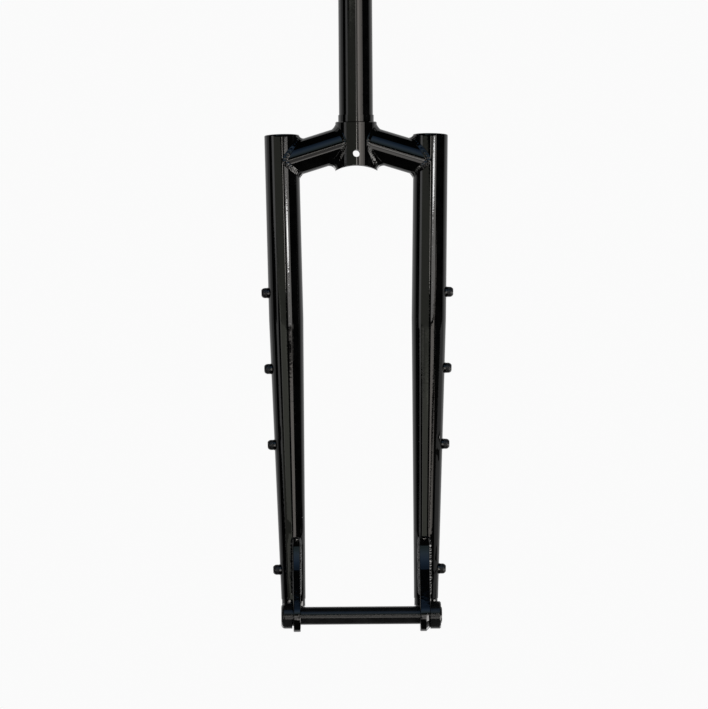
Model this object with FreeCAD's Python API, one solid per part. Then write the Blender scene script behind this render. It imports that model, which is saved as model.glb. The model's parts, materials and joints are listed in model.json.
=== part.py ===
import FreeCAD, Part
import math
import os

from FreeCAD import Placement, Rotation, Vector

# Millimetres and degrees. The origin is on the steerer's axis at the shoulder of the crown
# sleeve, +Z runs up the steerer, -Y points forward and +X to the rider's left, the brake side.

# Steerer and crown sleeve
steerer_od = 28.6
steerer_wall = 1.6
steerer_length = 250.0
steerer_chamfer = 0.5
spigot_step = 0.3
race_seat_step = 0.7
race_seat_height = 5.7
sleeve_wall = 3.45
sleeve_chamfer = 0.6
arch_radius = 36.0
arch_drop = 36.6
crown_hole_d = 6.0
crown_hole_drop = 26.8

# Legs; lengths run along the leg's axis from the point where the arm's axis meets it
leg_taper = 8.7
leg_wall = 1.4
leg_spread = 124.8
leg_outset = 5.62
leg_rake = 3.5
leg_rise = 23.3
leg_taper_start = 132.0
leg_end_height = 13.6
cap_thickness = 2.5
cap_rounding = 0.9
tip_step = 0.4
tip_straight = 6.0
tip_height = 6.0
tip_wall = 1.8

# Crown arms, of the steerer's size, a little thinner than the legs that they are mitred to
arm_step = 0.4
arm_wall = 1.6
arm_slope = 17.2
arm_shoulder = 0.6

# Wheel axle
axle_to_crown = 417.0
axle_offset = 47.0
hub_width = 100.0
axle_od = 15.0
axle_clearance = 0.1
axle_bore_d = 9.0
axle_thread_d = 14.0
axle_chamfer = 0.8
axle_proud = 0.9
head_od = 21.2
head_length = 9.2
head_rounding = 3.2
collar_od = 17.0
collar_length = 1.0
head_hex = 6.0
head_hex_depth = 5.5
nut_od = 23.0
nut_length = 8.8
nut_barrel_od = 18.0
nut_recess = 2.0
nut_chamfer = 0.9

# Dropout plates; heights are from the wheel axle's centre, and front_bend is the share of the
# upper front edge that the bend into the swept edge takes up
drive_plate = 6.0
brake_plate = 8.6
plate_rounding = 0.8
eye_radius = 13.5
eye_relief = 3.4
plate_top = 63.9
plate_bottom = 6.0
plate_setback = 4.5
plate_proud = 2.2
front_lean = 5.0
front_sweep = 30.5
front_bend = 0.8

# Cage bosses on the legs' outer sides and their bolts; boss_low_rise is from the leg's end
boss_pitch = 64.0
boss_top = 109.4
boss_low_rise = 24.9
boss_flange_d = 9.0
boss_flange = 0.8
boss_barrel_d = 7.0
boss_length = 9.0
bolt_d = 5.0
bolt_length = 10.0
bolt_head_d = 8.5
bolt_head = 5.0
bolt_rounding = 1.8
bolt_hex = 4.0
bolt_hex_depth = 2.6

# Brake tab on the back of the rider's left leg; tab_low_rise is from the leg's end
tab_thickness = 6.0
tab_bolt_spacing = 51.0
tab_bolt_d = 6.4
tab_low_rise = 18.7
tab_reach = 27.0
tab_ear = 9.0
tab_scallop = 7.0
tab_high_foot = 22.0
tab_low_foot = 15.0
tab_rounding = 0.8

# Weld beads
sleeve_weld = 5.0
leg_weld = 3.5
plate_weld = 2.2


def tan(angle):
    return math.tan(math.radians(angle))


left, right = 1, -1
spigot_od = steerer_od - 2 * spigot_step
race_seat_od = steerer_od + 2 * race_seat_step
sleeve_od = spigot_od + 2 * sleeve_wall
arm_od = steerer_od
arm_axis_drop = arm_od / 2 + arm_shoulder
leg_od = arm_od + arm_step
leg_tip_od = leg_od - leg_taper
arm_start = Vector(0, 0, -arm_axis_drop)
arm_end_z = -arm_axis_drop - leg_spread / 2 * tan(arm_slope)
axle_z = -math.sqrt(axle_to_crown ** 2 - axle_offset ** 2)
# How far each leg drops from its arm to its end, and how far it closes in on the way
leg_drop = arm_end_z - axle_z - leg_end_height
leg_close = leg_spread / 2 - hub_width / 2 - leg_outset
leg_length = math.hypot(leg_drop, leg_close, leg_drop * tan(leg_rake))
leg_slim = (leg_od - leg_tip_od) / 2 / (leg_length - leg_taper_start)
boss_low = leg_length - boss_low_rise
tab_low_bolt = leg_length - tab_low_rise


def rod(radius, start, end):
    return Part.makeCylinder(radius, (end - start).Length, start, end - start)


def extruded(points, travel):
    return Part.Face(Part.makePolygon(points + points[:1])).extrude(travel)


def turned(edges):
    face = Part.Face(Part.Wire(edges))
    return face.revolve(Vector(0, 0, 0), Vector(0, 0, 1), 360)


def ring(points):
    corners = [Vector(r, 0, z) for r, z in points]
    return turned(Part.makePolygon(corners + corners[:1]).Edges)


def hexagon(across, start, depth):
    corner = across / math.sqrt(3)
    turns = [math.radians(60 * step) for step in range(6)]
    return extruded([Vector(corner * math.cos(t), corner * math.sin(t), start) for t in turns],
                    Vector(0, 0, depth))


def edges_at(shape, test):
    return [edge for edge in shape.Edges if all(test(vertex.Point) for vertex in edge.Vertexes)]


def leg_node(side):
    return Vector(side * leg_spread / 2, 0, arm_end_z)


def leg_frame(side):
    # Local +Z runs down the leg and local +X points out to the side
    down = Vector(-side * leg_close, -leg_drop * tan(leg_rake), -leg_drop).normalize()
    out = Vector(side, 0, 0)
    out = (out - down * out.dot(down)).normalize()
    return Placement(leg_node(side), Rotation(out, down.cross(out), down, "ZXY"))


def placed(shape, placement):
    shape = shape.copy()
    shape.Placement = placement
    return shape


def leg_radius(along):
    return leg_od / 2 - leg_slim * max(0.0, along - leg_taper_start)


def leg_solid(side):
    profile = [(0, -leg_rise), (leg_od / 2, -leg_rise), (leg_od / 2, leg_taper_start),
               (leg_tip_od / 2, leg_length), (0, leg_length)]
    return placed(ring(profile), leg_frame(side))


def arm_solid(side):
    return rod(arm_od / 2, arm_start, leg_node(side))


def sleeve_solid():
    return Part.makeCylinder(sleeve_od / 2, 4 * arch_drop, Vector(0, 0, -4 * arch_drop))


def arch():
    reach = sleeve_od
    return rod(arch_radius, Vector(0, -reach, -arch_drop - arch_radius),
               Vector(0, reach, -arch_drop - arch_radius))


def crown_hole():
    reach = sleeve_od
    return rod(crown_hole_d / 2, Vector(0, -reach, -crown_hole_drop),
               Vector(0, reach, -crown_hole_drop))


def crown_foot():
    # Lowest level that the tubes reach before the wheel arch trims them
    return -arch_drop - arch_radius + math.sqrt(arch_radius ** 2 - (sleeve_od / 2) ** 2) - 1.0


def steerer_tube():
    # The foot is turned down to a spigot, so the tube stands on the sleeve's top
    outer, inner = steerer_od / 2, steerer_od / 2 - steerer_wall
    tube = ring([(inner, crown_foot()), (spigot_od / 2, crown_foot()),
                 (spigot_od / 2, race_seat_height), (outer, race_seat_height),
                 (outer, steerer_length - steerer_chamfer),
                 (outer - steerer_chamfer, steerer_length),
                 (inner + steerer_chamfer, steerer_length),
                 (inner, steerer_length - steerer_chamfer)])
    return tube.cut(arch()).cut(crown_hole())


def crown_sleeve():
    bore, seat, body = spigot_od / 2, race_seat_od / 2, sleeve_od / 2
    sleeve = ring([(bore, crown_foot()), (body, crown_foot()), (body, -sleeve_chamfer),
                   (body - sleeve_chamfer, 0), (seat, 0), (seat, race_seat_height),
                   (bore, race_seat_height)])
    return sleeve.cut(arch()).cut(crown_hole())


def crown_arm(side):
    tube = arm_solid(side).cut(rod(arm_od / 2 - arm_wall, arm_start, leg_node(side)))
    return tube.cut(sleeve_solid()).cut(leg_solid(side))


def leg_tube(side, plate):
    top = cap_thickness - leg_rise
    outer, tip = leg_od / 2, leg_tip_od / 2
    tube = ring([(outer, top), (outer, leg_taper_start), (tip, leg_length),
                 (tip - leg_wall, leg_length), (outer - leg_wall, leg_taper_start),
                 (outer - leg_wall, top)])
    for along in boss_places():
        tube = tube.cut(rod(boss_barrel_d / 2, Vector(0, 0, along), Vector(leg_od, 0, along)))
    return placed(tube, leg_frame(side)).cut(plate)


def leg_cap(side):
    disc = Part.makeCylinder(leg_od / 2, cap_thickness, Vector(0, 0, -leg_rise))
    rim = edges_at(disc, lambda p: abs(p.z + leg_rise) < 1e-6)
    return placed(disc.makeFillet(cap_rounding, rim), leg_frame(side))


def tip_outline(radius, height):
    # Straight side from the leg's end, then the arc of a spherical cap to its pole
    base = leg_length + tip_straight
    sphere = (radius ** 2 + height ** 2) / (2 * height)
    centre = base + height - sphere
    half = math.atan2(radius, base - centre) / 2
    middle = Vector(sphere * math.sin(half), 0, centre + sphere * math.cos(half))
    pole = Vector(0, 0, base + height)
    return [Part.makeLine(Vector(radius, 0, leg_length), Vector(radius, 0, base)),
            Part.Arc(Vector(radius, 0, base), middle, pole).toShape()]


def leg_tip(side, plate):
    radius = leg_tip_od / 2 - tip_step
    outer = tip_outline(radius, tip_height)
    inner = tip_outline(radius - tip_wall, tip_height - tip_wall)
    rim = Part.makeLine(outer[0].Vertexes[0].Point, inner[0].Vertexes[0].Point)
    pole = Part.makeLine(outer[1].Vertexes[-1].Point, inner[1].Vertexes[-1].Point)
    tip = turned(Part.sortEdges(outer + inner + [rim, pole])[0])
    return placed(tip, leg_frame(side)).cut(plate)


def axle_point(x, forward, height):
    return Vector(x, -axle_offset - forward, axle_z + height)


def leg_setback(height):
    # Distance of the leg's axis behind the wheel axle at a height above it
    return axle_offset + (axle_z + height - arm_end_z) * tan(leg_rake)


def plate_back(height):
    # The plate's back edge stands inside the leg, clear of the lowest boss
    return plate_setback - leg_setback(height)


def front_corner(top, touch):
    # Where the steep upper front edge meets the swept edge that runs out to the eye
    steep, swept = tan(front_lean), tan(front_sweep)
    height = (touch.x - top.x + touch.y * swept - top.y * steep) / (swept - steep)
    return Vector(top.x + (top.y - height) * steep, height, 0)


def dropout_plate(side, thickness):
    x = side * hub_width / 2
    travel = Vector(side * thickness, 0, 0)
    leg_front = leg_radius(leg_length - plate_top) - leg_setback(plate_top)
    top = Vector(leg_front + plate_proud, plate_top, 0)
    sweep = math.radians(front_sweep)
    touch = Vector(math.cos(sweep), math.sin(sweep), 0) * eye_radius
    corner = front_corner(top, touch)
    heel = Vector(plate_back(plate_bottom), plate_bottom, 0)
    turn = math.atan2(heel.y, heel.x) + math.acos(eye_radius / heel.Length)
    outline = [(plate_back(plate_top), plate_top), (top.x, top.y), (corner.x, corner.y),
               (touch.x, touch.y), (0, 0),
               (eye_radius * math.cos(turn), eye_radius * math.sin(turn)), (heel.x, heel.y)]
    body = extruded([axle_point(x, u, w) for u, w in outline], travel)
    bend = axle_point(0, corner.x, corner.y)
    bend_edge = edges_at(body, lambda p: math.hypot(p.y - bend.y, p.z - bend.z) < 0.01)
    bend_length = front_bend * top.distanceToPoint(corner)
    body = body.makeFillet(bend_length / tan((front_sweep - front_lean) / 2), bend_edge)
    plate = body.fuse(rod(eye_radius, axle_point(x, 0, 0), axle_point(x, 0, 0) + travel))
    plate = plate.removeSplitter()
    outer_rim = edges_at(plate, lambda p: abs(p.x - x - travel.x) < 1e-6)
    plate = plate.makeFillet(plate_rounding, outer_rim)
    inner_rim = edges_at(plate, lambda p: abs(p.x - x) < 1e-6)
    return plate.makeFillet(plate_rounding, inner_rim)


def right_dropout(plate):
    bore = axle_od / 2 + axle_clearance
    return plate.cut(rod(bore, axle_point(-hub_width, 0, 0), axle_point(0, 0, 0)))


def left_dropout(plate):
    seat = hub_width / 2 + nut_recess
    bore = axle_od / 2 + axle_clearance
    plate = plate.cut(rod(bore, axle_point(0, 0, 0), axle_point(seat, 0, 0)))
    plate = plate.cut(rod(nut_barrel_od / 2, axle_point(seat, 0, 0),
                          axle_point(hub_width, 0, 0)))
    return plate.cut(lower_relief())


def on_axle(shape):
    # Local +Z of the turned axle pieces runs along +X
    turn = Rotation(Vector(0, 1, 0), Vector(0, 0, 1), Vector(1, 0, 0), "ZXY")
    return placed(shape, Placement(axle_point(0, 0, 0), turn))


def lower_relief():
    # Cone that thins the brake side eye's rim below the axle
    face = hub_width / 2 + brake_plate
    low, high = eye_radius - eye_relief, eye_radius + eye_relief
    cone = on_axle(ring([(low - 1, face + 1), (high, face + 1), (high, face + low - high)]))
    below = Part.makeBox(hub_width, 4 * eye_radius, 2 * eye_radius,
                         axle_point(0, 2 * eye_radius, -2 * eye_radius))
    return cone.common(below)


def nut_end():
    return hub_width / 2 + brake_plate + nut_length


def axle_nut():
    flange = hub_width / 2 + brake_plate
    barrel, bore = nut_barrel_od / 2, axle_thread_d / 2
    return on_axle(ring([(bore, hub_width / 2 + nut_recess),
                         (barrel, hub_width / 2 + nut_recess), (barrel, flange),
                         (nut_od / 2, flange), (nut_od / 2, nut_end() - nut_chamfer),
                         (nut_od / 2 - nut_chamfer, nut_end()), (bore, nut_end())]))


def thru_axle():
    collar = -hub_width / 2 - drive_plate
    under = collar - collar_length
    face = under - head_length
    step = hub_width / 2 + nut_recess - axle_chamfer
    end = nut_end() + axle_proud
    shaft, thread = axle_od / 2, axle_thread_d / 2
    profile = [(0, face), (head_od / 2, face), (head_od / 2, under), (collar_od / 2, under),
               (collar_od / 2, collar), (shaft, collar), (shaft, step - axle_chamfer),
               (thread, step), (thread, end - axle_chamfer), (thread - axle_chamfer, end),
               (0, end)]
    axle = ring(profile)
    rim = edges_at(axle, lambda p: abs(p.z - face) < 1e-6 and math.hypot(p.x, p.y) > shaft)
    axle = axle.makeFillet(head_rounding, rim)
    axle = axle.cut(hexagon(head_hex, face, head_hex_depth))
    bore = Part.makeCylinder(axle_bore_d / 2, end - collar, Vector(0, 0, collar))
    return on_axle(axle.cut(bore))


def boss_places():
    return [boss_top, boss_top + boss_pitch, boss_top + 2 * boss_pitch, boss_low]


def boss(side, along):
    seat = leg_radius(along) + boss_flange
    axis = [Vector(x, 0, along) for x in (0, seat - boss_length, seat, leg_od)]
    flange = placed(rod(boss_flange_d / 2, axis[0], axis[2]), leg_frame(side))
    barrel = placed(rod(boss_barrel_d / 2, axis[1], axis[2]), leg_frame(side))
    bore = placed(rod(bolt_d / 2, axis[0], axis[3]), leg_frame(side))
    return flange.cut(leg_solid(side)).fuse(barrel).removeSplitter().cut(bore)


def bolt(side, along):
    # Local +Z of the bolt points out of the leg from the flange's face
    head = Part.makeCylinder(bolt_head_d / 2, bolt_head)
    rim = edges_at(head, lambda p: abs(p.z - bolt_head) < 1e-6)
    head = head.makeFillet(bolt_rounding, rim)
    shank = Part.makeCylinder(bolt_d / 2, bolt_length, Vector(0, 0, -bolt_length))
    screw = head.fuse(shank).cut(hexagon(bolt_hex, bolt_head - bolt_hex_depth, bolt_hex_depth))
    seat = Vector(leg_radius(along) + boss_flange, 0, along)
    turn = Rotation(Vector(0, 1, 0), Vector(0, 0, 1), Vector(1, 0, 0), "ZXY")
    return placed(screw, leg_frame(side).multiply(Placement(seat, turn)))


def tab_point(x, along, back):
    # A point behind the left leg, by its distance along the leg and behind the leg's axis
    rake = math.radians(leg_rake)
    node = leg_node(left)
    return Vector(x, node.y - along * math.sin(rake) + back * math.cos(rake),
                  node.z - along * math.cos(rake) - back * math.sin(rake))


def tab_inner():
    return leg_spread / 2 - leg_close * tab_low_bolt / leg_length - tab_thickness / 2


def brake_tab():
    x = tab_inner()
    travel = Vector(tab_thickness, 0, 0)
    high, low = tab_low_bolt - tab_bolt_spacing, tab_low_bolt
    shoulder = tab_ear * math.sqrt(0.5)
    outline = [(high - tab_high_foot, 0), (high - tab_high_foot, leg_radius(high)),
               (high - shoulder, tab_reach + shoulder), (high + tab_ear, tab_reach),
               ((high + low) / 2, tab_reach - tab_scallop), (low - tab_ear, tab_reach),
               (low + shoulder, tab_reach + shoulder), (low + tab_low_foot, leg_radius(low)),
               (low + tab_low_foot, 0)]
    tab = extruded([tab_point(x, s, t) for s, t in outline], travel)
    for along in (high, low):
        centre = tab_point(x, along, tab_reach)
        tab = tab.fuse(rod(tab_ear, centre, centre + travel))
    tab = tab.removeSplitter()
    for face in (x, x + tab_thickness):
        rim = edges_at(tab, lambda p: abs(p.x - face) < 1e-6)
        tab = tab.makeFillet(tab_rounding, rim)
    for along in (high, low):
        centre = tab_point(x, along, tab_reach)
        tab = tab.cut(rod(tab_bolt_d / 2, centre - travel, centre + travel * 2))
    return tab.cut(leg_solid(left))


def fillet_weld(tube, arm, radius):
    joined = tube.fuse(arm)
    seam = []
    for edge in joined.Edges:
        middle = Part.Vertex(edge.valueAt((edge.FirstParameter + edge.LastParameter) / 2))
        meets = all(min(face.distToShape(middle)[0] for face in piece.Faces) < 1e-3
                    for piece in (tube, arm))
        if meets and edge.Curve.TypeId == "Part::GeomBSplineCurve":
            seam.append(edge)
    return joined.makeFillet(radius, seam).cut(tube).cut(arm)


def sleeve_weld_bead(side):
    return fillet_weld(sleeve_solid(), arm_solid(side), sleeve_weld).cut(arch())


def leg_weld_bead(side):
    return fillet_weld(leg_solid(side), arm_solid(side), leg_weld)


def seam_point(side, x, along, facing):
    # Where the plane at x cuts the leg's surface, on its front (-1) or its back (+1)
    frame = leg_frame(side)
    radius = leg_radius(along)
    centre = frame.multVec(Vector(0, 0, along))
    across = (x - centre.x) / frame.Rotation.multVec(Vector(1, 0, 0)).x
    reach = facing * math.sqrt(radius ** 2 - across ** 2)
    forward = 1 if frame.Rotation.multVec(Vector(0, 1, 0)).y > 0 else -1
    return frame.multVec(Vector(across, forward * reach, along))


def plate_weld_beads(side, plate, faces, start, end, facing):
    beads = []
    for x in faces:
        first = seam_point(side, x, start, facing)
        last = seam_point(side, x, end, facing)
        bead = rod(plate_weld, first, last)
        for centre in (first, last):
            bead = bead.fuse(Part.makeSphere(plate_weld, centre))
        beads += bead.removeSplitter().cut(plate).cut(leg_solid(side)).Solids
    return Part.makeCompound(beads)


parts = {"steerer_tube": steerer_tube(), "crown_sleeve": crown_sleeve(),
         "thru_axle": thru_axle(), "axle_nut": axle_nut(), "brake_tab": brake_tab()}
bolts = []
for name, side, thickness in (("left", left, brake_plate), ("right", right, drive_plate)):
    plate = dropout_plate(side, thickness)
    parts[name + "_dropout"] = left_dropout(plate) if side == left else right_dropout(plate)
    parts[name + "_crown_arm"] = crown_arm(side)
    parts[name + "_leg"] = leg_tube(side, plate)
    parts[name + "_leg_cap"] = leg_cap(side)
    parts[name + "_leg_tip"] = leg_tip(side, plate)
    parts[name + "_sleeve_weld"] = sleeve_weld_bead(side)
    parts[name + "_arm_weld"] = leg_weld_bead(side)
    faces = (side * hub_width / 2, side * (hub_width / 2 + thickness))
    parts[name + "_dropout_weld"] = plate_weld_beads(
        side, plate, faces, leg_length - 0.8 * plate_top, leg_length - plate_weld, -1)
    for number, along in enumerate(boss_places(), 1):
        parts[name + "_boss_" + str(number)] = boss(side, along)
        bolts.append(bolt(side, along))
parts["boss_bolts"] = Part.makeCompound(bolts)
parts["brake_tab_weld"] = plate_weld_beads(
    left, parts["brake_tab"], (tab_inner(), tab_inner() + tab_thickness),
    tab_low_bolt - tab_bolt_spacing - tab_high_foot, tab_low_bolt + tab_low_foot, 1)

os.makedirs("parts", exist_ok=True)
for name, shape in parts.items():
    shape.exportStep("parts/" + name + ".step")
    print(name, "solids", len(shape.Solids), "volume", round(shape.Volume, 1), shape.isValid())
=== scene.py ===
import json
import math

import bpy
import numpy as np
from mathutils import Matrix, Vector


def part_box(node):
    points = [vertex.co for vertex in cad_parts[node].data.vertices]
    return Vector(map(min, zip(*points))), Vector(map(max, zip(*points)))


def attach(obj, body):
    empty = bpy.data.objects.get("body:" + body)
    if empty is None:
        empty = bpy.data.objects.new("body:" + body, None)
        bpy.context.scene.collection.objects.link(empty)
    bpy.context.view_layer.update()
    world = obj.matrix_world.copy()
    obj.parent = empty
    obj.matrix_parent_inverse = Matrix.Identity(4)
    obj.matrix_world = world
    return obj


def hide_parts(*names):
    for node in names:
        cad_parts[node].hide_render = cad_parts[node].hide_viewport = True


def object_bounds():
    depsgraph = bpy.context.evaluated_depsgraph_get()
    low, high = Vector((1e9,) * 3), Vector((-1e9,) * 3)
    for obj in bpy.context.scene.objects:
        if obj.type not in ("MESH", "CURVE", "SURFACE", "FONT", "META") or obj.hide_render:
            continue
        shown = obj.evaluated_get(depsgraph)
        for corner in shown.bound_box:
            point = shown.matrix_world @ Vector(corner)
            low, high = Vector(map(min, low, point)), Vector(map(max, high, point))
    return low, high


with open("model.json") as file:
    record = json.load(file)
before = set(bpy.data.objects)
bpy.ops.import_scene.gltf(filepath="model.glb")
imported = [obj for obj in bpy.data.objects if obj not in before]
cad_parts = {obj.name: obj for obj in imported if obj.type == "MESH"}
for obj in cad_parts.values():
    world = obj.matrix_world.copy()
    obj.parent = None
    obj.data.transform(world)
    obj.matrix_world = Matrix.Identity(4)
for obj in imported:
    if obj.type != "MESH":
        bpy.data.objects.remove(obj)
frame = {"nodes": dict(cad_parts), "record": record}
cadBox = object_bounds()
nodes = frame["nodes"]
scene = bpy.context.scene
mmPerMetre = 1000

# sizes of the fork in mm, the same as in the solids; +X is the rider's left, -Y is forward
fork = {"armRadius": 14.3, "armWall": 1.6, "armSlope": 17.2, "armDrop": 14.9, "sleeveRadius": 17.45,
        "legRadius": 14.5, "legTipRadius": 10.15, "legSpread": 124.8, "legOutset": 5.62, "legRake": 3.5,
        "legTaperStart": 132.0, "legRise": 23.3, "legEndHeight": 13.6, "axleToCrown": 417.0,
        "axleOffset": 47.0, "hubWidth": 100.0, "archRadius": 36.0, "archDrop": 36.6}

# picture: the photo is a front view, a little from the fork's right-hand side
picture = {"distance": 8.0, "mmPerPixel": 0.842, "pixelsHigh": 709, "sensor": 36.0, "roll": -0.40,
           "yaw": -0.9, "lookAt": (-0.00306, 0.0, -0.1959)}


def makeCamera():
    data = bpy.data.cameras.new("front_camera")
    data.sensor_fit = "VERTICAL"
    data.sensor_height = data.sensor_width = picture["sensor"]
    pixelsAway = picture["distance"] * mmPerMetre / picture["mmPerPixel"]
    data.lens = pixelsAway * picture["sensor"] / picture["pixelsHigh"]
    camera = bpy.data.objects.new("front_camera", data)
    around = Matrix.Translation(picture["lookAt"]) @ Matrix.Rotation(math.radians(picture["yaw"]), 4, "Z")
    back = Matrix.Translation((0, -picture["distance"], 0)) @ Matrix.Rotation(math.radians(90), 4, "X")
    camera.matrix_world = around @ back @ Matrix.Rotation(math.radians(picture["roll"]), 4, "Z")
    scene.collection.objects.link(camera)
    scene.camera = camera
    print("camera ready")


# studio: white wall behind, dim room in front; angles in degrees, from the camera towards image right and up
studio = {"wall": 0.96, "room": 0.002, "distance": 40.0}
softBoxes = [
    # name, azimuth span, elevation span, radiance, colour, share of the distance
    # behind the fork and beside it; the strips show only from behind
    ("white_wall", (116, 244), (-60, 60), 0.62, (1, 1, 1)),
    ("back_strip_left", (206, 222), (-40, -10), 2.2, (1, 1, 1), 0.9),
    ("back_strip_right", (138, 154), (-40, -10), 2.2, (1, 1, 1), 0.9),
    ("left_wing", (-116, -96), (-60, 60), 0.36, (1, 1, 1)),
    ("right_wing", (104, 116), (-60, 60), 0.36, (1, 1, 1)),
    # seen in the steerer and the sleeve
    ("low_window", (-72, -57), (1.35, 2.9), 0.95, (1, 1, 1)),
    ("low_fill", (-57, 0), (0.6, 2.6), 0.3, (0.97, 1, 0.86)),
    ("sleeve_slit", (-0.2, 4.2), (0.6, 1.68), 5.5, (1, 0.96, 0.9)),
    ("low_slit", (-0.2, 4.2), (1.68, 3), 2.1, (1, 0.96, 0.9)),
    ("low_gap", (4.2, 13), (1.68, 3), 0.9, (1, 0.96, 0.9)),
    ("low_door", (13, 25), (0.6, 3), 3.3, (1, 0.93, 0.87)),
    ("low_door_middle", (25, 36), (0.6, 3), 2.3, (1, 0.93, 0.87)),
    ("low_door_side", (36, 47), (0.6, 3), 1.6, (1, 0.93, 0.87)),
    # seen in the lower legs
    ("leg_window", (-66, -56), (2.9, 4.2), 0.85, (1, 1, 1)),
    ("leg_edge", (-42, -38), (2.6, 4.95), 1.3, (1, 1, 0.94)),
    ("leg_fill", (-38, 0), (2.6, 4.95), 0.8, (0.97, 1, 0.86)),
    ("leg_door", (14, 36), (3.7, 4.95), 2.4, (1, 0.93, 0.87)),
    ("leg_door_low", (14, 26), (3.38, 3.7), 2.4, (1, 0.93, 0.87)),
    ("leg_door_foot", (14, 19), (3.2, 3.38), 2.0, (1, 0.93, 0.87)),
    ("leg_side", (68, 104), (-1.2, 1.25), 0.42, (1, 1, 1)),
    ("gap_window", (-72, -57), (4.2, 5.5), 1.3, (1, 1, 1)),
    ("gap_fill", (-55, 2), (4.95, 5.5), 0.5, (0.97, 1, 0.86)),
    ("gap_door", (30, 48), (4.95, 5.5), 0.8, (1, 0.93, 0.87)),
    # seen in the upper legs
    ("high_window", (-72, -57), (5.5, 8.75), 1.3, (1, 1, 1)),
    ("high_fill", (-57, -1.8), (5.5, 8.75), 0.42, (0.97, 1, 0.86)),
    ("high_slit", (0.3, 2.5), (6.6, 8.75), 7.4, (1, 0.96, 0.9)),
    ("high_door", (13, 38), (5.5, 8.75), 2.6, (1, 0.97, 0.94)),
    ("lamp", (18, 27), (7.1, 7.85), 22.0, (1, 1, 1)),
    # a table below, seen in the crown arms
    ("table_back", (-9, 1.2), (-7.6, -1.6), 3.6, (1, 0.97, 0.94)),
    ("table_left", (-9, 1.2), (-13.5, -7.6), 1.0, (1, 0.96, 0.92)),
    ("table_left_front", (-9, 1.2), (-28, -13.5), 1.9, (1, 0.96, 0.92)),
    ("table_right", (1.2, 9), (-18, -0.5), 0.68, (1, 0.96, 0.92)),
    ("table_right_front", (1.2, 9), (-30, -18), 2.5, (1, 0.96, 0.92)),
    # low at both sides, seen mostly in the welds
    ("ground_side", (80, 106), (-22, -4.5), 6.0, (1, 0.98, 0.95)),
    ("ground_left", (-62, -34), (-22, -5), 1.2, (1, 0.97, 0.93)),
    ("ground_right", (42, 64), (-42, -12), 5.5, (1, 0.97, 0.93)),
    ("weld_right", (30, 50), (-9, -0.8), 6.5, (1, 0.97, 0.93)),
    ("weld_left", (-50, -30), (-9, -0.8), 4.0, (1, 0.97, 0.93)),
]
# blue sky above, in even rows, seen in the crown arms and the dropouts; its radiance and colour are given
# at a few heights and blended between them
sky = {"azimuth": (-36, 36), "edges": (15, 57.5), "rows": 17, "heights": (19, 27.5, 36.5, 45.5, 53.75),
       "radiance": (0.48, 0.85, 0.8, 0.55, 0.35), "red": (0.55, 0.46, 0.4, 0.32, 0.3),
       "green": (0.8, 0.68, 0.62, 0.58, 0.56), "blue": (0.9, 0.92, 0.96, 1.0, 1.0)}


def softBox(name, azimuth, elevation, radiance, colour, share=1.0):
    # a far rectangle that faces the fork; its power is radiance times pi times its area
    far = studio["distance"] * share
    data = bpy.data.lights.new(name, "AREA")
    data.shape = "RECTANGLE"
    turn, tilt = (math.radians(sum(span) / 2) for span in (azimuth, elevation))
    data.size, data.size_y = (2 * far * math.tan(math.radians(span[1] - span[0]) / 2)
                              for span in (azimuth, elevation))
    data.color = colour
    data.energy = radiance * math.pi * data.size * data.size_y
    outward = Vector((math.sin(turn) * math.cos(tilt), -math.cos(turn) * math.cos(tilt), math.sin(tilt)))
    box = bpy.data.objects.new(name, data)
    box.matrix_world = (Matrix.Translation(outward * far + Vector(picture["lookAt"]))
                        @ outward.to_track_quat("Z", "Y").to_matrix().to_4x4())
    box.visible_camera = False
    scene.collection.objects.link(box)


def makeStudio():
    world = bpy.data.worlds.new("studio")
    scene.world = world
    world.use_nodes = True
    tree = world.node_tree
    path = tree.nodes.new("ShaderNodeLightPath")
    mix = tree.nodes.new("ShaderNodeMix")
    mix.data_type = "RGBA"
    # the mix's sockets for colours go by number, because its sockets for values have the same names
    share, room, wall, seen = mix.inputs[0], mix.inputs[6], mix.inputs[7], mix.outputs[2]
    room.default_value = (studio["room"],) * 3 + (1,)
    wall.default_value = (studio["wall"],) * 3 + (1,)
    tree.links.new(path.outputs["Is Camera Ray"], share)
    tree.links.new(seen, tree.nodes["Background"].inputs["Color"])
    for row in softBoxes:
        softBox(*row)
    edges = np.linspace(*sky["edges"], sky["rows"] + 1)
    for row, span in enumerate(zip(edges[:-1], edges[1:]), 1):
        radiance, *colour = (np.interp(sum(span) / 2, sky["heights"], sky[part])
                             for part in ("radiance", "red", "green", "blue"))
        softBox("sky_%d" % row, sky["azimuth"], span, radiance, colour)
    scene.view_settings.view_transform = "Standard"
    print("studio ready")


# floor: reach to each side and drop below the fork in metres, then its shade, roughness and glow
floorLook = {"reach": 6.0, "drop": 0.35, "shade": 0.6, "roughness": 0.9, "glow": 0.62}


def makeFloor():
    # plain pale floor below the fork, left out of the paint's reflections
    reach, level = floorLook["reach"], cadBox[0].z - floorLook["drop"]
    mesh = bpy.data.meshes.new("floor")
    mesh.from_pydata([(-reach, -reach, level), (reach, -reach, level), (reach, reach, level),
                      (-reach, reach, level)], [], [(0, 1, 2, 3)])
    material = bpy.data.materials.new("pale_floor")
    material.use_nodes = True
    shader = material.node_tree.nodes["Principled BSDF"]
    shader.inputs["Base Color"].default_value = (floorLook["shade"],) * 3 + (1,)
    shader.inputs["Roughness"].default_value = floorLook["roughness"]
    shader.inputs["Emission Color"].default_value = (1, 1, 1, 1)
    shader.inputs["Emission Strength"].default_value = floorLook["glow"]
    mesh.materials.append(material)
    floor = bpy.data.objects.new("floor", mesh)
    floor.visible_glossy = floor.visible_shadow = False
    scene.collection.objects.link(floor)
    print("floor ready")


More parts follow.
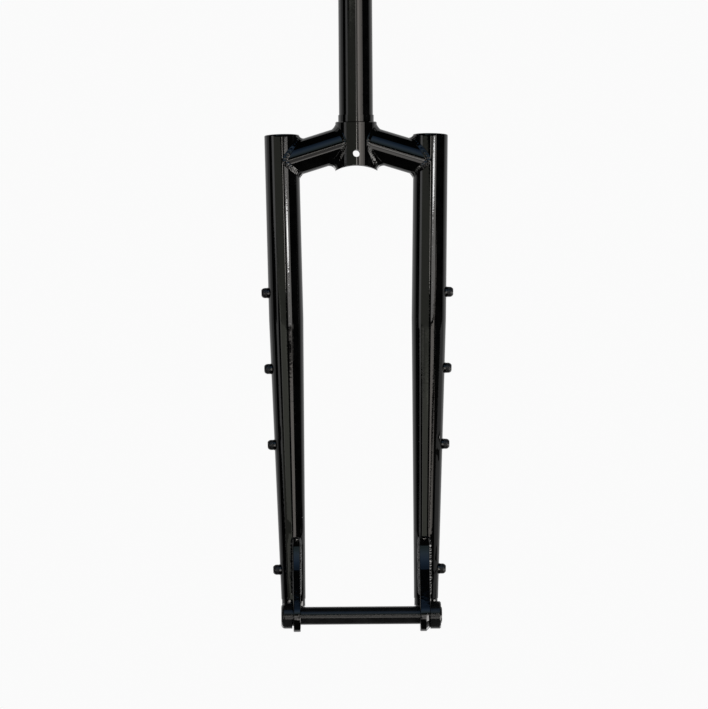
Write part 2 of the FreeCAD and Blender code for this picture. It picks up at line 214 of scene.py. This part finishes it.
# finishes: each skin drifts between two tones and two roughnesses; peel is its waviness and grain the dust
# under the paint, given as features per metre and height in metres
finishLooks = {
    "gloss_paint": {"tones": (0.0008, 0.0016), "roughness": (0.02, 0.045), "specular": 0.5,
                    "peelScale": 420.0, "peelHeight": 4e-6, "grainScale": 380.0, "grainHeight": 6e-6},
    "weld_paint": {"tones": (0.0008, 0.0016), "roughness": (0.02, 0.05), "specular": 0.5,
                   "peelScale": 700.0, "peelHeight": 6e-6, "grainScale": 500.0, "grainHeight": 4e-6},
    "black_anodised": {"tones": (0.005, 0.008), "roughness": (0.13, 0.19), "specular": 0.34,
                       "peelScale": 1500.0, "peelHeight": 1e-6, "grainScale": 900.0, "grainHeight": 0.5e-6},
    "black_bolts": {"tones": (0.006, 0.011), "roughness": (0.33, 0.43), "specular": 0.4,
                    "peelScale": 2500.0, "peelHeight": 2e-6, "grainScale": 1400.0, "grainHeight": 1e-6},
}
skinLook = {"driftScale": 90.0, "driftSpan": (0.35, 0.65), "peelDetail": 1.0, "grainRadius": 0.16}


def skinGroup():
    # uneven skin in object space: a slow noise goes out as the drift mask; a finer noise and round grains,
    # each times its height, are added up and pushed through a bump
    tree = bpy.data.node_groups.new("unevenSkin", "ShaderNodeTree")
    for name in ("Peel Scale", "Peel Height", "Grain Scale", "Grain Height"):
        tree.interface.new_socket(name, in_out="INPUT", socket_type="NodeSocketFloat")
    tree.interface.new_socket("Drift", in_out="OUTPUT", socket_type="NodeSocketFloat")
    tree.interface.new_socket("Normal", in_out="OUTPUT", socket_type="NodeSocketVector")
    start, end = tree.nodes.new("NodeGroupInput"), tree.nodes.new("NodeGroupOutput")
    place = tree.nodes.new("ShaderNodeTexCoord")
    drift, peel = tree.nodes.new("ShaderNodeTexNoise"), tree.nodes.new("ShaderNodeTexNoise")
    drift.inputs["Scale"].default_value = skinLook["driftScale"]
    peel.inputs["Detail"].default_value = skinLook["peelDetail"]
    grain = tree.nodes.new("ShaderNodeTexVoronoi")
    spot = tree.nodes.new("ShaderNodeMapRange")  # 1 at a grain's middle, 0 from its radius on
    spot.interpolation_type = "SMOOTHSTEP"
    spot.inputs["From Max"].default_value = skinLook["grainRadius"]
    spot.inputs["To Min"].default_value, spot.inputs["To Max"].default_value = 1.0, 0.0
    lift, total = tree.nodes.new("ShaderNodeMath"), tree.nodes.new("ShaderNodeMath")
    lift.operation, total.operation = "MULTIPLY", "MULTIPLY_ADD"
    bump = tree.nodes.new("ShaderNodeBump")
    bump.inputs["Distance"].default_value = 1.0  # heights are in metres
    links = [(place.outputs["Object"], drift.inputs["Vector"]),
             (place.outputs["Object"], peel.inputs["Vector"]),
             (place.outputs["Object"], grain.inputs["Vector"]),
             (start.outputs["Peel Scale"], peel.inputs["Scale"]),
             (start.outputs["Grain Scale"], grain.inputs["Scale"]),
             (grain.outputs["Distance"], spot.inputs["Value"]),
             (spot.outputs["Result"], lift.inputs[0]),
             (start.outputs["Grain Height"], lift.inputs[1]),
             (peel.outputs["Fac"], total.inputs[0]),
             (start.outputs["Peel Height"], total.inputs[1]),
             (lift.outputs["Value"], total.inputs[2]),
             (total.outputs["Value"], bump.inputs["Height"]),
             (drift.outputs["Fac"], end.inputs["Drift"]),
             (bump.outputs["Normal"], end.inputs["Normal"])]
    for out, into in links:
        tree.links.new(out, into)
    return tree


def makeFinish(name, look, skin):
    material = bpy.data.materials.new(name)
    material.use_nodes = True
    tree = material.node_tree
    shader = tree.nodes["Principled BSDF"]
    shader.inputs["Specular IOR Level"].default_value = look["specular"]
    group = tree.nodes.new("ShaderNodeGroup")
    group.node_tree = skin
    for socket, size in (("Peel Scale", "peelScale"), ("Peel Height", "peelHeight"),
                         ("Grain Scale", "grainScale"), ("Grain Height", "grainHeight")):
        group.inputs[socket].default_value = look[size]
    tones, gloss = tree.nodes.new("ShaderNodeValToRGB"), tree.nodes.new("ShaderNodeMapRange")
    for element, place, tone in zip(tones.color_ramp.elements, skinLook["driftSpan"], look["tones"]):
        element.position, element.color = place, (tone, tone, tone, 1)
    gloss.inputs["From Min"].default_value, gloss.inputs["From Max"].default_value = skinLook["driftSpan"]
    gloss.inputs["To Min"].default_value, gloss.inputs["To Max"].default_value = look["roughness"]
    tree.links.new(group.outputs["Drift"], tones.inputs["Fac"])
    tree.links.new(group.outputs["Drift"], gloss.inputs["Value"])
    tree.links.new(tones.outputs["Color"], shader.inputs["Base Color"])
    tree.links.new(gloss.outputs["Result"], shader.inputs["Roughness"])
    tree.links.new(group.outputs["Normal"], shader.inputs["Normal"])
    return material


# solids: corners closer than the merge distance, in metres, are joined, and edges over the angle stay sharp
solidLook = {"mergeDistance": 1e-6, "creaseAngle": 30}


def paintNodes(finishes):
    # the solids keep their meshes; loose triangles are joined and creased by modifiers
    for row in frame["record"]["subparts"]:
        node = nodes[row["node"]]
        node.data.materials.clear()
        node.data.materials.append(finishes[row["material_slot"]])
        node.data.polygons.foreach_set("use_smooth", np.ones(len(node.data.polygons), bool))
        node.modifiers.new("join", "WELD").merge_threshold = solidLook["mergeDistance"]
        node.modifiers.new("creases", "EDGE_SPLIT").split_angle = math.radians(solidLook["creaseAngle"])
    print("solids painted")


def unit(vectors):
    # each vector over its own length
    return vectors / np.linalg.norm(vectors, axis=-1, keepdims=True)


def gridFaces(grid):
    # two triangles for each cell of a grid that closes both ways, turned to face outwards
    index = np.arange(grid.shape[0] * grid.shape[1]).reshape(grid.shape[:2])
    right, down = np.roll(index, -1, 1), np.roll(index, -1, 0)
    both = np.roll(right, -1, 0)
    faces = np.concatenate([np.stack([index, right, both], -1).reshape(-1, 3),
                            np.stack([index, both, down], -1).reshape(-1, 3)])
    a, b, c = (grid.reshape(-1, 3)[faces[:, k]] for k in range(3))
    volume = np.einsum("ij,ij->", np.cross(a, b), c)  # below 0 where the faces point inwards
    return faces if volume > 0 else faces[:, ::-1]


mergeDigits = 5  # decimals of a mm to which points are told apart


def makePiece(name, grids, finish, slot, *replaced):
    # grids hold points in mm; points that coincide, as at a pole, become one vertex
    corners = np.concatenate([grid.reshape(-1, 3) for grid in grids])
    starts = np.cumsum([0] + [grid.shape[0] * grid.shape[1] for grid in grids])
    faces = np.concatenate([gridFaces(grid) + start for grid, start in zip(grids, starts)])
    rounded = np.round(corners, mergeDigits)
    _, first, same = np.unique(rounded, axis=0, return_index=True, return_inverse=True)
    corners, faces = corners[first], same.reshape(-1)[faces]
    faces = faces[(faces != np.roll(faces, 1, 1)).all(1)]
    mesh = bpy.data.meshes.new(name)
    mesh.vertices.add(len(corners))
    mesh.vertices.foreach_set("co", (corners / mmPerMetre).astype(np.float32).ravel())
    mesh.loops.add(faces.size)
    mesh.loops.foreach_set("vertex_index", faces.astype(np.int32).ravel())
    mesh.polygons.add(len(faces))
    mesh.polygons.foreach_set("loop_start", np.arange(0, faces.size, 3, dtype=np.int32))
    mesh.polygons.foreach_set("use_smooth", np.ones(len(faces), bool))
    mesh.update(calc_edges=True)
    mesh.materials.append(finish)
    piece = bpy.data.objects.new(name, mesh)
    scene.collection.objects.link(piece)
    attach(piece, "root")
    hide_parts(*replaced)
    print(name, len(faces), "triangles")


def legAxes(side):
    # the point where arm and leg meet, then the leg's own axes: outward, sideways, down; and its length
    reach = fork["legSpread"] / 2
    meetZ = -fork["armDrop"] - reach * math.tan(math.radians(fork["armSlope"]))
    axleZ = -math.sqrt(fork["axleToCrown"] ** 2 - fork["axleOffset"] ** 2)
    drop = meetZ - axleZ - fork["legEndHeight"]
    close = reach - fork["hubWidth"] / 2 - fork["legOutset"]
    way = np.array([-side * close, -drop * math.tan(math.radians(fork["legRake"])), -drop])
    length = np.linalg.norm(way)
    down = way / length
    out = unit(np.array([side, 0, 0]) - down * side * down[0])
    return np.array([side * reach, 0, meetZ]), out, np.cross(down, out), down, length


def legRadiusAt(along, length):
    # full radius down to the taper's start, then a straight taper to the tip's radius at the leg's end
    slim = (fork["legRadius"] - fork["legTipRadius"]) / (length - fork["legTaperStart"])
    return fork["legRadius"] - slim * np.maximum(0, along - fork["legTaperStart"])


# weld beads: radius in a corner, half width and crown where the tubes run flush, how full the bead is
# (0 hollow, 1 flat), ripple pitch and depth, and sag, the share by which the bead is thinner above and
# thicker below; lengths in mm
beadLooks = {"sleeve": {"radius": 5.0, "flat": 2.0, "crown": 0.4, "fullness": 0.3,
                        "pitch": 2.6, "ripple": 0.2, "sag": 0.0},
             "leg": {"radius": 4.2, "flat": 2.4, "crown": 0.5, "fullness": 0.3,
                     "pitch": 2.6, "ripple": 0.4, "sag": 0.2},
             "plate": {"radius": 2.2, "flat": 2.0, "crown": 0.4, "fullness": 0.35,
                       "pitch": 2.4, "ripple": 0.4, "sag": 0.0}}
# what all beads share: points across, depth of edges and root in the metal in mm, how square the open ends
# are and how far the ripples bend; the hand's unevenness is waves of (height, turns along the seam, start):
# wander, added up, pushes the width and the ripples, and depth, multiplied, is added to the even depth
beadHand = {"points": 15, "edgeSink": 0.12, "rootDepth": 1.2, "endPower": 8, "crescent": 0.55,
            "wander": ((0.12, 3, 0.2), (0.07, 7, 0.6)), "widthPush": 0.5, "ripplePush": 4,
            "evenDepth": 0.65, "depth": ((0.35, 11, 0.3), (1.0, 4, 0.1))}


def wave(t, height, turns, start):
    # a sine with so many turns along the seam, where t goes from 0 to 1
    return height * np.sin(2 * np.pi * (turns * t + start))


def beadGrid(path, normalA, normalB, awayA, awayB, look, closed):
    # t runs along the seam and s across it; the section goes from edge A along a hollow curve to edge B and
    # back inside the metal, and is wider in a tight corner; the ripples are half sine arches along the seam,
    # bent into crescents across it
    hand = beadHand
    along = np.concatenate([[0], np.cumsum(np.linalg.norm(np.diff(path, axis=0), axis=1))])
    total = along[-1] + (np.linalg.norm(path[0] - path[-1]) if closed else 0)
    t = along / total
    count = round(total / look["pitch"])
    wander = sum(wave(t, *row) for row in hand["wander"])
    swell = 1 + hand["widthPush"] * wander - wave(t, look["sag"], 1, 0)
    if not closed:  # both ends are rounded off
        swell = swell * np.sqrt(np.clip(1 - (2 * t - 1) ** hand["endPower"], 0, 1))
    swell = swell[:, None]
    middle = unit(normalA + normalB)
    bend = np.arccos(np.sum(normalA * normalB, 1, keepdims=True)) / 2
    width = np.maximum(look["radius"] * np.tan(bend), look["flat"]) * swell
    crown = look["crown"] * np.maximum(1 - np.tan(bend), 0) * swell
    edgeA = path + width * awayA - hand["edgeSink"] * swell * normalA
    edgeB = path + width * awayB - hand["edgeSink"] * swell * normalB
    top = path + look["fullness"] * ((edgeA + edgeB) / 2 - path) + 2 * crown * middle
    s = np.linspace(0, 1, hand["points"])
    shares = ((1 - s) ** 2, 2 * s * (1 - s), s ** 2)
    outer = sum(share[:, None] * line[:, None] for share, line in zip(shares, (edgeA, top, edgeB)))
    depth = hand["evenDepth"] + math.prod(wave(t, *row) for row in hand["depth"])
    phase = (count * t + hand["ripplePush"] * wander)[:, None] + hand["crescent"] * (2 * s - 1) ** 2
    lift = look["ripple"] * depth[:, None] * swell * np.abs(np.sin(np.pi * phase)) * np.sin(np.pi * s)
    outer = outer + lift[..., None] * middle[:, None]
    inner = (path - hand["rootDepth"] * swell * middle)[:, None]
    return np.concatenate([outer, inner], 1)


# crown arms: points round the tube, and its rings as shares of the way, closer together at the seams
armLook = {"points": 480, "rings": (0, 0.01, 0.03, 0.1, 0.3, 0.5, 0.7, 0.9, 0.97, 0.99, 1)}


def armSeam(side, toLeg, inset=0):
    # the arm's ring of points slid along its axis until they meet the leg's or the sleeve's cylinder, which
    # is the larger root of a quadratic at the sleeve's end and the smaller one at the leg's
    slope = math.radians(fork["armSlope"])
    axis = np.array([side * math.cos(slope), 0, -math.sin(slope)])
    turn = np.linspace(0, 2 * np.pi, armLook["points"], endpoint=False)[:, None]
    front, above = np.array([0, -1, 0]), np.array([side * math.sin(slope), 0, math.cos(slope)])
    armNormal = np.cos(turn) * front + np.sin(turn) * above
    rim = np.array([0, 0, -fork["armDrop"]]) + (fork["armRadius"] - inset) * armNormal
    base, pole, radius, end = np.zeros(3), np.array([0, 0, 1.0]), fork["sleeveRadius"], 1
    if toLeg:
        base, pole, radius, end = legAxes(side)[0], legAxes(side)[3], fork["legRadius"], -1
    across = axis - pole * (axis @ pole)
    offset = (rim - base) - ((rim - base) @ pole)[:, None] * pole
    a, b, c = across @ across, offset @ across, np.sum(offset ** 2, 1) - radius ** 2
    slide = (-b + end * np.sqrt(np.maximum(b ** 2 - a * c, 0))) / a
    path = rim + slide[:, None] * axis
    wallNormal = unit(path - base - ((path - base) @ pole)[:, None] * pole)
    run = unit(np.roll(path, -1, 0) - np.roll(path, 1, 0))
    armAway, wallAway = np.cross(run, armNormal), np.cross(run, wallNormal)
    armAway *= np.sign(armAway @ axis * end)[:, None]
    wallAway *= np.sign(np.sum(wallAway * (path - path.mean(0)), 1))[:, None]
    return path, wallNormal, armNormal, wallAway, armAway


def makeCrownArms(finish):
    # tube: the outer ring carried from the sleeve's seam to the leg's, then the bore's ring carried back
    share = np.array(armLook["rings"])[:, None]
    for side, name in ((1, "left"), (-1, "right")):
        walls = []
        for inset in (0, fork["armWall"]):
            start, stop = (armSeam(side, toLeg, inset)[0][:, None] for toLeg in (False, True))
            walls.append(start + share * (stop - start))
        grid = np.concatenate([walls[0], walls[1][:, ::-1]], 1)
        makePiece(name + "_crown_arm_tube", [grid], finish, "gloss_paint", name + "_crown_arm")


def makeCrownWelds(finish):
    # a closed bead round each end of each arm
    archCentre = np.array([0, 0, -fork["archDrop"] - fork["archRadius"]])
    for side, name in ((1, "left"), (-1, "right")):
        bead = beadGrid(*armSeam(side, False), beadLooks["sleeve"], True)
        away = bead - archCentre  # points inside the tyre's arch are pushed out to its edge
        reach = np.hypot(away[..., 0], away[..., 2])[..., None]
        bead = bead + away * np.array([1, 0, 1]) * np.maximum(fork["archRadius"] / reach - 1, 0)
        makePiece(name + "_sleeve_weld_bead", [bead], finish, "weld_paint", name + "_sleeve_weld")
        bead = beadGrid(*armSeam(side, True), beadLooks["leg"], True)
        base, down = legAxes(side)[0], legAxes(side)[3]
        above = np.maximum(-fork["legRise"] - (bead - base) @ down, 0)  # no higher than the leg's top
        bead = bead + above[..., None] * down
        makePiece(name + "_arm_weld_bead", [bead], finish, "weld_paint", name + "_arm_weld")


# plate welds: points along a bead and across a dropout's top, steps to find that top's line, and where the
# side beads start and end, in mm above the leg's end
plateWelds = {"points": 260, "topPoints": 60, "topSteps": 6, "dropout": (51.1, 2.2), "brakeTab": (91.7, 3.7)}


def plateBead(side, x, face, run, facing):
    # along the line where the plane at x cuts the leg's cone, on its front (-1) or back (+1)
    base, out, sideways, down, length = legAxes(side)
    sideways = sideways * np.sign(sideways[1])
    along = np.linspace(length - run[0], length - run[1], plateWelds["points"])
    u = (x - base[0] - along * down[0]) / out[0]
    v = facing * np.sqrt(legRadiusAt(along, length) ** 2 - u ** 2)
    path = base + u[:, None] * out + v[:, None] * sideways + along[:, None] * down
    legNormal = unit(u[:, None] * out + v[:, None] * sideways)
    plateNormal = np.broadcast_to([face, 0.0, 0.0], path.shape)
    legAway = np.cross(unit(np.gradient(path, axis=0)), legNormal)
    legAway *= np.sign(legAway[:, :1] * face)
    plateAway = np.broadcast_to(facing * sideways, path.shape)
    return beadGrid(path, legNormal, plateNormal, legAway, plateAway, beadLooks["plate"], False)


def plateTopBead(side, low, high, top):
    # across the plate, where its flat top comes out of the leg's front; the place along the leg is found
    # by steps, because the leg's radius there depends on it
    base, out, sideways, down, length = legAxes(side)
    sideways = sideways * np.sign(sideways[1])
    x = np.linspace(low, high, plateWelds["topPoints"])
    along = (base[2] - top) / -down[2] + 0 * x
    for step in range(plateWelds["topSteps"]):
        u = (x - base[0] - along * down[0]) / out[0]
        v = -np.sqrt(legRadiusAt(along, length) ** 2 - u ** 2)
        along = (base[2] + u * out[2] + v * sideways[2] - top) / -down[2]
    path = base + u[:, None] * out + v[:, None] * sideways + along[:, None] * down
    legNormal = unit(u[:, None] * out + v[:, None] * sideways)
    topNormal, legAway, topAway = (np.broadcast_to(way, path.shape)
                                   for way in ((0.0, 0.0, 1.0), -down, -sideways))
    return beadGrid(path, legNormal, topNormal, legAway, topAway, beadLooks["plate"], False)


def makePlateWelds(finish):
    # a bead down each face of a plate, and one across each dropout's top
    for side, name in ((1, "left"), (-1, "right")):
        low, high = (corner.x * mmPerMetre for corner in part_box(name + "_dropout"))
        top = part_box(name + "_dropout")[1].z * mmPerMetre
        grids = [plateBead(side, x, face, plateWelds["dropout"], -1) for x, face in ((low, -1), (high, 1))]
        grids.append(plateTopBead(side, low, high, top))
        makePiece(name + "_dropout_weld_bead", grids, finish, "weld_paint", name + "_dropout_weld")
    low, high = (corner.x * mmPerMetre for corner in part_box("brake_tab"))
    grids = [plateBead(1, x, face, plateWelds["brakeTab"], 1) for x, face in ((low, -1), (high, 1))]
    makePiece("brake_tab_weld_bead", grids, finish, "weld_paint", "brake_tab_weld")


# bolts: cap screws with knurled heads, sizes in mm; places are along the leg from its arm, and lowRise is
# above its end; dome is the height of the head's rounded top, edge and tip are chamfers, and below the
# hexagon come its rounded floor and the drill's point
boltLook = {"places": (109.4, 173.4, 237.4), "lowRise": 24.9, "flange": 0.8, "points": 144,
            "shankRadius": 2.5, "shank": 10.0, "tip": 0.5,
            "headRadius": 4.25, "head": 4.99, "edge": 0.25, "dome": 2.8, "domeRows": 9,
            "knurls": 36, "knurlDepth": 0.16, "knurlRows": 6, "knurlFade": 0.4,
            "hex": 4.0, "hexDepth": 2.6, "hexFloor": 0.96, "hexRound": 0.05, "hexPoint": 0.6}


def boltGrid():
    # profile carried round the bolt's axis; each row is a radius, which may vary round it, and a height
    look = boltLook
    turn = np.linspace(0, 2 * np.pi, look["points"], endpoint=False)
    flat = look["hex"] / 2 / np.cos((turn % (np.pi / 3)) - np.pi / 6)
    groove = look["knurlDepth"] * (1 - np.abs(np.sin(turn * look["knurls"] / 2)))
    shank, foot, edge = look["shankRadius"], -look["shank"], look["edge"]
    head, top, dome = look["headRadius"], look["head"], look["dome"]
    floor = top - look["hexDepth"]
    rows = [(0, foot), (shank - look["tip"], foot), (shank, foot + look["tip"]), (shank, 0),
            (head - edge, 0)]
    # knurled side, where the grooves fade out at both ends
    for share in np.linspace(0, 1, look["knurlRows"] + 1):
        fade = max(math.sin(math.pi * share), 0) ** look["knurlFade"]
        rows.append((head - fade * groove, edge + (top - dome - edge) * share))
    # dome, an ellipse's arc up to the hexagon's rim
    rim = math.acos((flat.max() + edge) / head)
    for angle in np.linspace(0, rim, look["domeRows"] + 1)[1:]:
        rows.append((head * math.cos(angle), top - dome + dome * math.sin(angle) / math.sin(rim)))
    rows += [(flat + edge, top), (flat, top - edge), (flat, floor + look["hexRound"]),
             (look["hexFloor"] * flat, floor), (0, floor - look["hexPoint"])]
    return np.stack([np.stack([r * np.cos(turn), r * np.sin(turn), z + 0 * turn], -1) for r, z in rows])


def makeBolts(finish):
    # the bolt turned to the leg's own axes and set on each boss
    bolt, grids = boltGrid(), []
    for side in (1, -1):
        base, out, sideways, down, length = legAxes(side)
        for along in boltLook["places"] + (length - boltLook["lowRise"],):
            seat = base + along * down + (legRadiusAt(along, length) + boltLook["flange"]) * out
            grids.append(seat + bolt @ np.stack([sideways, down, out]))
    makePiece("boss_bolt_screws", grids, finish, "black_bolts", "boss_bolts")


makeCamera()
makeStudio()
makeFloor()
skin = skinGroup()
finishes = {name: makeFinish(name, look, skin) for name, look in finishLooks.items()}
print(len(finishes), "finishes ready")
paintNodes(finishes)
makeCrownArms(finishes["gloss_paint"])
makeCrownWelds(finishes["weld_paint"])
makePlateWelds(finishes["weld_paint"])
makeBolts(finishes["black_bolts"])
